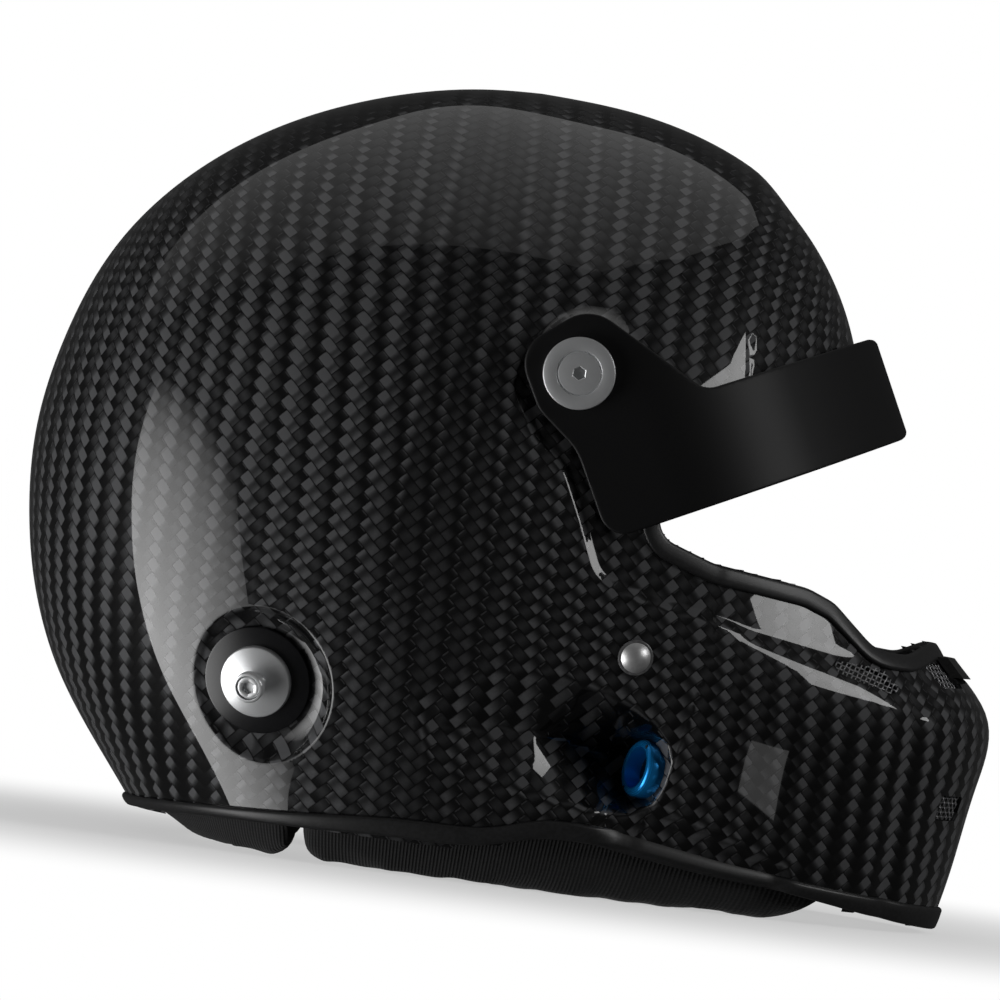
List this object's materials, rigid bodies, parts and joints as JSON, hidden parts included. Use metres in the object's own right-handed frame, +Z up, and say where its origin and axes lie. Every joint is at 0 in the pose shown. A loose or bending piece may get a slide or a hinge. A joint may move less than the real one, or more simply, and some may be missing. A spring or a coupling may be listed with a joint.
{
  "type": "auto racing helmet",
  "caption": "Full-face auto racing helmet with a woven carbon shell, open eyeport under a tilting peak, head restraint posts, wire-mesh vents, soft lining and a D-ring chin strap.",
  "frame": {"origin": "centre of the footprint on the plane that the helmet's base stands on", "axes": "+X forward out of the eyeport, +Y to the wearer's left, +Z up to the crown"},
  "size_m": [0.3548, 0.2522, 0.2804],
  "materials": {
    "carbon": "woven carbon under clear gloss lacquer",
    "trim_rubber": "satin black rubber",
    "foam": "matt expanded foam",
    "lining": "ribbed knit",
    "peak_plastic": "fine matt moulded",
    "steel": "satin steel",
    "screw_steel": "satin steel",
    "washer_plastic": "smooth slip washer",
    "brass_insert": "machined",
    "black_plate": "gloss black",
    "webbing": "woven webbing",
    "snap_plastic": "satin",
    "blue_aluminium": "blue anodised",
    "mesh": "black coated wire",
    "cover_plastic": "satin black moulding"
  },
  "bodies": {
    "helmet": {"outer_shell": "carbon", "eyeport_trim": "trim_rubber", "base_trim": "trim_rubber", "impact_liner_front": "foam", "impact_liner_rear": "foam", "crown_pad_front": "lining", "crown_pad_top": "lining", "crown_pad_rear": "lining", "crown_pad_side_right": "lining", "crown_pad_side_left": "lining", "chin_liner": "foam", "cheek_pad_right": "lining", "cheek_pad_left": "lining", "neck_roll": "lining", "peak_screw_right": "steel", "peak_screw_left": "steel", "peak_washer_right": "washer_plastic", "peak_washer_left": "washer_plastic", "peak_insert_right": "brass_insert", "peak_insert_left": "brass_insert", "anchor_ring_right": "black_plate", "anchor_ring_left": "black_plate", "anchor_post_right": "steel", "anchor_post_left": "steel", "anchor_screw_right": "screw_steel", "anchor_screw_left": "screw_steel", "anchor_nut_right": "screw_steel", "anchor_nut_left": "screw_steel", "strap_rivet_right": "steel", "strap_rivet_left": "steel", "strap_plate_right": "screw_steel", "strap_plate_left": "screw_steel", "strap_web_right": "webbing", "strap_web_left": "webbing", "port_ring_right": "blue_aluminium", "port_ring_left": "blue_aluminium", "port_nut_right": "black_plate", "port_nut_left": "black_plate", "side_vent_mesh_right": "mesh", "side_vent_mesh_left": "mesh", "chin_mesh_upper_right": "mesh", "chin_mesh_upper_left": "mesh", "chin_mesh_lower_right": "mesh", "chin_mesh_lower_left": "mesh", "chin_vent_cover": "cover_plastic"},
    "peak": {"peak": "peak_plastic"},
    "strap": {"chin_strap": "webbing", "d_ring_inner": "steel", "d_ring_outer": "steel", "strap_snap": "snap_plastic"}
  },
  "joints": [
    {"name": "peak_tilt", "type": "hinge", "parent": "helmet", "child": "peak", "pos_m": [0.01345, 0, 0.18058], "axis": [0, -1, 0], "range_deg": [-6, 35]},
    {"name": "strap_swing", "type": "hinge", "parent": "helmet", "child": "strap", "pos_m": [0.04567, 0, 0.07823], "axis": [0, 1, 0], "range_deg": [-30, 30]}
  ]
}
